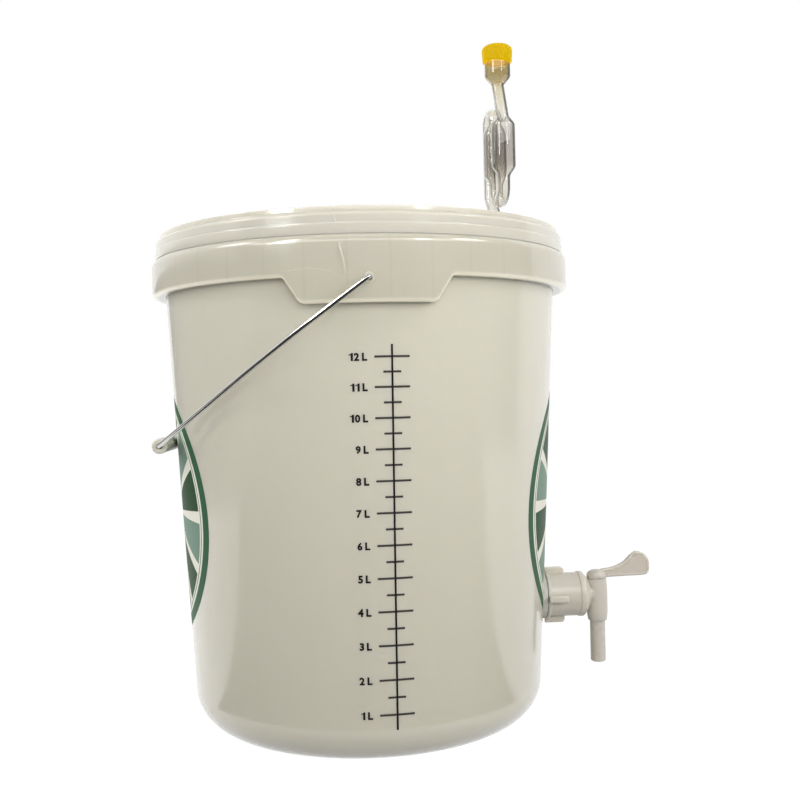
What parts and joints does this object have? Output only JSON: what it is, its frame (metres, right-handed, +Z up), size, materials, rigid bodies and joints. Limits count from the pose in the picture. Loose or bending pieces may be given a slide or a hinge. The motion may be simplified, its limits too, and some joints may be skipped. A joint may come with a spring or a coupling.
{
  "type": "fermentation bucket",
  "caption": "Tapered round plastic pail with a press-on lid, S-shaped water airlock, wire bail with a grip, and a lever tap near the base, for fermenting and drawing off liquids.",
  "frame": {"origin": "middle of the footprint of the whole object, on the surface that the foot ring stands on", "axes": "+Z up along the bucket's axis; +X out along the tap; the bail turns about an axis along Y; the printed scale faces -Y"},
  "size_m": [0.354, 0.31, 0.4795],
  "materials": {
    "bucket_plastic": "satin gloss, slightly translucent off-white",
    "lid_plastic": "satin gloss, slightly translucent off-white",
    "gasket_rubber": "matt",
    "grommet_rubber": "matt black",
    "airlock_clear_plastic": "clear glossy plastic",
    "airlock_cap_plastic": "satin yellow",
    "bail_plated_steel": "bright zinc plating",
    "grip_plastic": "satin gloss, slightly translucent",
    "tap_body_plastic": "satin off-white",
    "tap_plug_plastic": "satin off-white",
    "tap_washer_rubber": "matt grey-white"
  },
  "bodies": {
    "bucket": {"bucket": "bucket_plastic", "tap_body": "tap_body_plastic", "tap_outer_washer": "tap_washer_rubber", "tap_inner_washer": "tap_washer_rubber", "tap_backnut": "tap_body_plastic"},
    "lid": {"lid": "lid_plastic", "lid_gasket": "gasket_rubber", "airlock_grommet": "grommet_rubber"},
    "airlock": {"airlock_tube": "airlock_clear_plastic"},
    "airlock_cap": {"airlock_cap": "airlock_cap_plastic"},
    "bail": {"bail_wire": "bail_plated_steel"},
    "grip": {"bail_grip": "grip_plastic"},
    "tap_plug": {"tap_plug": "tap_plug_plastic"}
  },
  "joints": [
    {"name": "bail_swing", "type": "hinge", "parent": "bucket", "child": "bail", "pos_m": [-0.03059, 0, 0.2963], "axis": [0, -1, 0], "range_deg": [-150, 0]},
    {"name": "grip_spin", "type": "hinge", "parent": "bail", "child": "grip", "pos_m": [-0.1678, 0, 0.19729], "axis": [0, 1, 0], "continuous": true},
    {"name": "lid_lift", "type": "slide", "parent": "bucket", "child": "lid", "axis": [0, 0, 1], "range_m": [0, 0.08]},
    {"name": "airlock_pull", "type": "slide", "parent": "lid", "child": "airlock", "axis": [0, 0, 1], "range_m": [0, 0.04]},
    {"name": "cap_pull", "type": "slide", "parent": "airlock", "child": "airlock_cap", "axis": [0, 0, 1], "range_m": [0, 0.02]},
    {"name": "tap_turn", "type": "hinge", "parent": "bucket", "child": "tap_plug", "pos_m": [0.13759, 0, 0.0786], "axis": [0, 0, 1], "range_deg": [-90, 90]}
  ]
}
